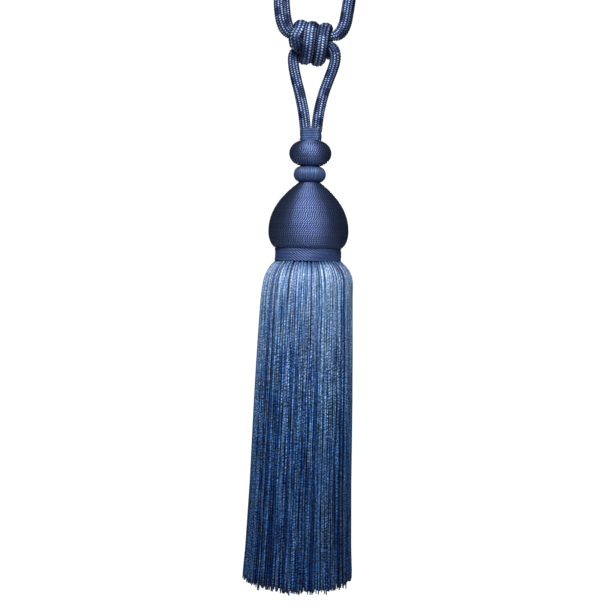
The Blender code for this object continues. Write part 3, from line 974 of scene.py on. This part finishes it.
@dataclass
class NeckBinding:
    """Thread wound round both ends of the hanger rope in an oval."""

    width: float = 14.1 * MM
    depth: float = 9.2 * MM
    turns: int = 5
    relief: float = 0.12 * MM
    finish: WoundFinish = field(
        default_factory=lambda: WoundFinish(
            "navy_yarn_neck", (0.006, 0.012, 0.045), (0.095, 0.16, 0.36), ply_depth=0.4, row_depth=0.9, metallic=0.6
        )
    )

    def dress(self) -> Piece:
        """Build the oval drum and show it."""
        height = NECK_TOP - BALL_TOP
        corner = self.depth / 2
        levels = np.linspace(0.0, 1.0, self.turns * 8 + 1)
        profile = [(0.0, NECK_TOP - 2.5 * MM), (corner - 1.0 * MM, NECK_TOP - 0.4 * MM)]
        profile += [*((corner, NECK_TOP - height * share) for share in levels), (0.0, BALL_TOP)]
        mesh = spun(profile, 96)
        points = points_of(mesh)
        turn = turns_of(points)
        row = (NECK_TOP - points[:, 2]) / height * self.turns
        bed = np.sqrt(ridge(row + turn))
        rim = np.clip(np.hypot(points[:, 0], points[:, 1]) / corner, 0.0, 1.0)
        loose = 0.1 * MM * np.sin(row * 2.1 + 0.5)
        scale = rim * (1.0 - self.relief * (1.0 - bed) / corner)
        angle = turn * TURN
        straight = (self.width - self.depth) / 2
        across = np.cos(angle) * corner + np.tanh(np.cos(angle) * 4.0) * straight
        points[:, 0] = across * scale + loose * rim
        points[:, 1] = np.sin(angle) * corner * scale
        move_points(mesh, points)
        store(mesh, row=row, plies=np.full(len(points), 40.0))
        return dress("neck_binding_wound", mesh, self.finish.material(), "neck_binding", "navy_yarn")


@dataclass
class BraidBand:
    """The band: rows of thick twisted cord laid one above the other."""

    radius: float = 21.45 * MM
    thickness: float = 2.1 * MM
    rows: int = 4
    plies: int = 58
    lean: float = 1.38
    relief: float = 0.5 * MM
    slant: Slant = Slant.FALLING
    finish: BraidFinish = field(default_factory=BraidFinish)

    def dress(self) -> Piece:
        """Build the band and show it."""
        height = BAND_TOP - BAND_BOTTOM
        inner = self.radius - self.thickness
        levels = np.linspace(0.0, 1.0, self.rows * 8 + 1)
        profile = [(inner, BAND_TOP), *((self.radius, BAND_TOP - height * share) for share in levels)]
        profile += [(inner, BAND_BOTTOM), (inner, BAND_TOP)]
        mesh = spun(profile, self.plies * 6)
        points = points_of(mesh)
        turn = turns_of(points)
        row = (BAND_TOP - points[:, 2]) / height * self.rows
        number = np.clip(np.floor(row), 0, self.rows - 1)
        across = row - number
        bed = np.sqrt(np.clip(1.0 - (2.0 * across - 1.0) ** 2, 0.0, 1.0))
        phase = turn * self.plies + self.slant.value * self.lean * row
        stroke = ridge(phase)
        shape = (0.8 + 0.2 * bed) * (0.1 + 0.9 * np.sqrt(stroke))
        radius = np.hypot(points[:, 0], points[:, 1])
        outer = (radius > inner + 0.5 * MM).astype(float)
        wave = 0.25 * MM * np.sin(TURN * turn * 5.0 + number) * outer
        scale = (radius + wave + outer * self.relief * (shape - 0.85)) / radius
        points[:, :2] *= scale[:, None]
        points[:, 2] += 0.08 * MM * np.sin(TURN * turn * 3.0 + 0.6)
        move_points(mesh, points)
        store(mesh, height=shape * outer)
        return dress("band_plaited", mesh, self.finish.material(), "band", "navy_yarn")


@dataclass
class ThreadLayer:
    """One layer of the skirt's threads, all round it."""

    count: int
    share: float
    radius: float
    root: float
    sides: int
    steps: int
    loose: float
    # How light the layer's threads are painted: the inner layers darker, as painted shade deep in the skirt
    light: float


@dataclass
class Skirt:
    """Cut threads that hang from the band, full at the shoulder and ragged at the hem."""

    length: float = 206.5 * MM
    start: float = -2.0 * MM
    sway: float = -1.7 * MM
    shoulder: float = 1.8 * MM
    seed: int = 11
    outline: tuple[tuple[float, float], ...] = (
        (-3.0, 18.8), (-1.0, 19.4), (0.0, 20.4), (1.4, 22.2), (3.5, 24.1), (5.5, 25.4), (9.0, 26.9),
        (14.2, 28.1), (24.7, 29.2), (43.2, 29.9), (59.2, 30.5), (91.2, 31.5), (145.2, 32.6), (186.2, 34.0),
        (206.5, 35.3), (222.0, 36.0),
    )
    outer: tuple[ThreadLayer, ...] = (
        ThreadLayer(144, 0.998, 0.60 * MM, 0.97, 8, 40, 0.26 * MM, 1.0),
        ThreadLayer(144, 0.955, 0.62 * MM, 0.93, 6, 34, 0.30 * MM, 0.8),
        ThreadLayer(140, 0.920, 0.72 * MM, 0.88, 6, 24, 0.40 * MM, 0.5),
    )
    inner: tuple[ThreadLayer, ...] = (
        ThreadLayer(150, 0.880, 0.80 * MM, 0.82, 5, 14, 0.7 * MM, 0.3),
        ThreadLayer(120, 0.800, 0.95 * MM, 0.72, 5, 10, 0.9 * MM, 0.4),
        ThreadLayer(96, 0.680, 1.10 * MM, 0.60, 5, 8, 1.0 * MM, 0.4),
        ThreadLayer(72, 0.540, 1.25 * MM, 0.48, 5, 6, 1.0 * MM, 0.4),
        ThreadLayer(48, 0.390, 1.40 * MM, 0.34, 5, 6, 1.0 * MM, 0.4),
        ThreadLayer(26, 0.230, 1.50 * MM, 0.20, 5, 6, 1.0 * MM, 0.4),
        ThreadLayer(8, 0.080, 1.60 * MM, 0.08, 5, 6, 1.0 * MM, 0.4),
    )

    def layer(self, layer: ThreadLayer, number: int) -> tuple[Mesh, dict[str, Array]]:
        """Hang one layer of threads.

        Args:
            layer: The layer's sizes.
            number: Its place from the outside in, which sets its random draws.

        Returns:
            The mesh and the numbers that its material reads.
        """
        chance = np.random.default_rng(self.seed + number)
        template = tube(layer.sides, layer.steps)
        unit = points_of(template)
        size = len(unit)
        mesh = repeated(template, layer.count)
        thread = np.repeat(np.arange(layer.count), size)
        angle = np.tile(np.arctan2(unit[:, 1], unit[:, 0]), layer.count)
        share = np.tile(unit[:, 2], layer.count)
        share = mix(share**1.6, share, np.clip(share * 1.6, 0.0, 1.0))

        def each(low: float, high: float) -> Array:
            """One even random number for each thread, at all of its points."""
            return chance.uniform(low, high, layer.count)[thread]

        base = (thread + each(-0.35, 0.35) + 0.5 * (number % 2)) / layer.count * TURN
        tufts = np.sin(37.0 * base + 1.0) + np.sin(61.0 * base + 2.0 * number) + np.sin(23.0 * base)
        ends = self.length + tufts * 0.5 * MM + each(-1.2, 0.9) * MM
        ends = ends + each(0.0, 1.0) ** 4 * each(-4.0, 2.0) * MM
        ends = ends - (1.0 - layer.share) * 2.0 * MM + np.clip(-np.sin(base), 0.0, 1.0) ** 2 * 1.2 * MM
        depth = mix(self.start, ends, share)
        down = np.clip(depth / self.length, 0.0, 1.1)
        depths, radii = np.array(self.outline).T * MM
        outline = np.interp(depth, depths, radii)
        near_top = np.exp(-np.clip(depth, 0.0, None) / (9.0 * MM))
        gather = np.sin(61.0 * base + 0.7) + 0.6 * np.sin(37.0 * base + 2.1) + 0.4 * np.sin(83.0 * base)
        pull = np.cos(61.0 * base + 0.7) / 61.0 + 0.6 * np.cos(37.0 * base + 2.1) / 37.0
        clumps = 0.75 * near_top + 0.10
        folds = np.sin(23.0 * base + 3.0 * down) + 0.7 * np.sin(9.0 * base - 2.0 * down + 1.0)
        hang = mix(layer.root, layer.share, np.clip(depth / (12.0 * MM), 0.0, 1.0))
        radius = outline * hang + gather * clumps * 0.55 * MM
        radius = radius + folds * 0.22 * MM * np.clip(down * 8.0, 0.0, 1.0)
        radius = radius + each(-1.0, 1.0) * layer.loose * 0.7 * np.clip(depth / (15.0 * MM), 0.15, 1.0)
        shoulder = np.exp(-(((depth / MM - 8.0) / 11.0) ** 2)) * np.clip(np.cos(base), 0.0, 1.0) ** 2
        radius = radius + shoulder * self.shoulder
        wander = np.sin(each(0.0, TURN) + depth / MM * TURN / each(60.0, 120.0)) * layer.loose
        wander = wander + np.sin(each(0.0, TURN) + depth / MM * TURN / each(22.0, 45.0)) * layer.loose * 0.35
        wander = wander * np.clip(depth / (12.0 * MM), 0.0, 1.0)
        direction = base + pull * clumps * 1.1 + wander / np.maximum(radius, 1.0 * MM)
        flat = np.zeros_like(direction)
        outward = np.column_stack([np.cos(direction), np.sin(direction), flat])
        across = np.column_stack([-np.sin(direction), np.cos(direction), flat])
        centre = outward * radius[:, None]
        centre[:, 0] += self.sway * down
        centre[:, 2] = BAND_BOTTOM - depth
        taper = np.clip((1.0 - share) * 60.0 + 0.6, 0.0, 1.0) * each(0.85, 1.15)
        spin = angle + each(0.0, TURN)
        thick = (layer.radius * taper)[:, None]
        points = centre + (outward * np.cos(spin)[:, None] + across * np.sin(spin)[:, None]) * thick
        move_points(mesh, points)
        # Painted shadow under the band: each thread darkens up to the band, over a longer stretch at the front
        front = np.exp(-((np.sin(base / 2.0 + math.pi / 4.0) / 0.3) ** 2))
        uneven = 0.6 * np.sin(41.0 * base) + 0.6 * np.sin(67.0 * base + 1.0)
        band_shadow_reach = (0.6 + uneven + (4.0 + 1.5 * uneven) * front) * MM
        root = np.clip(depth / np.maximum(band_shadow_reach, 0.5 * MM), 0.0, 1.0)
        # tone: a random tone for each thread, lighter where clumps bulge out and darker in the gaps between them
        # and in the folds' hollows as painted light and shade, times the layer's painted shade and the painted
        # shadow under the band
        tone = each(0.0, 1.0) + 0.25 * gather * near_top + 0.08 * folds
        tone = np.clip(tone * layer.light * root, 0.0, 1.2)
        # How squarely each point looks out of the skirt; it paints shade down the sides of each thread
        face = np.cos(spin)
        return mesh, {"tone": tone, "depth": depth, "thread": thread + 1000.0 * number, "face": face}

    def dress(self) -> list[Piece]:
        """Build the outer and the inner threads and show them."""
        material = SkirtFinish().material()
        pieces = []
        number = 0
        for name, layers in (("skirt_outer_threads", self.outer), ("skirt_inner_threads", self.inner)):
            shape = bmesh.new()
            kept: dict[str, list[Array]] = {"tone": [], "depth": [], "thread": [], "face": []}
            for layer in layers:
                mesh, values = self.layer(layer, number)
                number += 1
                shape.from_mesh(mesh)
                for key, numbers in values.items():
                    kept[key].append(numbers)
            joined = finished(shape, name)
            store(joined, **{key: np.concatenate(parts) for key, parts in kept.items()})
            pieces.append(dress(name, joined, material, "skirt", "skirt_yarn"))
        return pieces


@dataclass
class Studio:
    """The camera, the lights and the pale surroundings."""

    eye: Place = (-2.1 * MM, -0.774, -193.0 * MM)
    looked_at: Place = (-2.1 * MM, 0.0, -211.0 * MM)
    field_of_view: float = 28.64
    frame_shift: float = -0.042
    roll: float = 1.4
    floor_height: float = -0.90
    floor_size: float = 1.15
    floor_greys: tuple[Colour, Colour] = ((0.82, 0.82, 0.83), (0.86, 0.86, 0.86))
    lit_point: Place = (0.0, 0.0, -0.2)
    world_light: float = 0.035
    world_seen: float = 1.05

    def camera(self) -> None:
        """Place the camera at the picture's angle."""
        data = bpy.data.cameras.new("camera")
        data.sensor_width = 36.0
        data.lens = 18.0 / math.tan(math.radians(self.field_of_view / 2))
        data.clip_start = 0.01
        data.shift_y = self.frame_shift
        camera = shown("camera", data)
        roll = Matrix.Rotation(math.radians(self.roll), 4, "Z")
        camera.matrix_world = faced(self.eye, self.looked_at) @ roll
        bpy.context.scene.camera = camera

    def light(self, name: str, place: Place, size: float, power: float) -> None:
        """Add one soft square light that faces the tassel."""
        data = bpy.data.lights.new(name, "AREA")
        data.size = size
        data.energy = power
        shown(name, data).matrix_world = faced(place, self.lit_point)

    def surroundings(self) -> None:
        """A white background that gives the tassel only a dim even light, and a pale floor below it."""
        world = bpy.data.worlds.new("studio")
        world.use_nodes = True
        nodes, links = world.node_tree.nodes, world.node_tree.links
        seen = nodes.new("ShaderNodeLightPath").outputs["Is Camera Ray"]
        strength = nodes.new("ShaderNodeMapRange")
        strength.inputs["To Min"].default_value = self.world_light
        strength.inputs["To Max"].default_value = self.world_seen
        links.new(seen, strength.inputs["Value"])
        background = nodes["Background"]
        background.inputs["Color"].default_value = (1.0, 1.0, 1.0, 1.0)
        links.new(strength.outputs[0], background.inputs["Strength"])
        bpy.context.scene.world = world
        bpy.context.scene.view_settings.view_transform = "Standard"
        shape = bmesh.new()
        bmesh.ops.create_circle(shape, cap_ends=True, segments=96, radius=self.floor_size)
        bmesh.ops.translate(shape, verts=shape.verts, vec=(0.0, 0.0, self.floor_height))
        mesh = finished(shape, "floor")
        shader = Shader("pale_floor")
        grain = shader.noise(4.0)
        shader.paint(shader.blend(grain, *self.floor_greys))
        mesh.materials.append(shader.constants(roughness=0.9))
        shown("floor", mesh)

    def lights(self) -> None:
        """A broad light in front and above, a weak fill from each side, and one light behind."""
        self.light("front_light", (-0.05, -0.85, 0.62), 0.55, 20.0)
        self.light("left_fill", (-0.55, -1.1, -0.15), 0.5, 0.9)
        self.light("right_fill", (0.55, -1.1, -0.15), 0.5, 0.7)
        self.light("back_light", (0.0, 1.4, -0.1), 0.35, 14.0)


def main() -> None:
    """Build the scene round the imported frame."""
    logging.basicConfig(level=logging.INFO, format="%(message)s")
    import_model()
    studio = Studio()
    studio.camera()
    rope_material = RopeFinish().material()
    coil = coil_rows()
    hanger = Rope("hanger_cord", HANGER_LEFT_LEG + coil + HANGER_RIGHT_LEG, seed=3)
    hanger.pressed_from = len(HANGER_LEFT_LEG)
    hanger.pressed_to = hanger.pressed_from + len(coil) + 3
    hanger.dress(rope_material)
    Rope("embrace_front", EMBRACE_FRONT, seed=23).dress(rope_material)
    Rope("embrace_back", EMBRACE_BACK, seed=43).dress(rope_material)
    NeckBinding().dress()
    FlattenedBall().dress()
    WrappedRing().dress()
    BellHead().dress()
    BraidBand().dress()
    Skirt().dress()
    studio.surroundings()
    studio.lights()


if __name__ == "__main__":
    main()
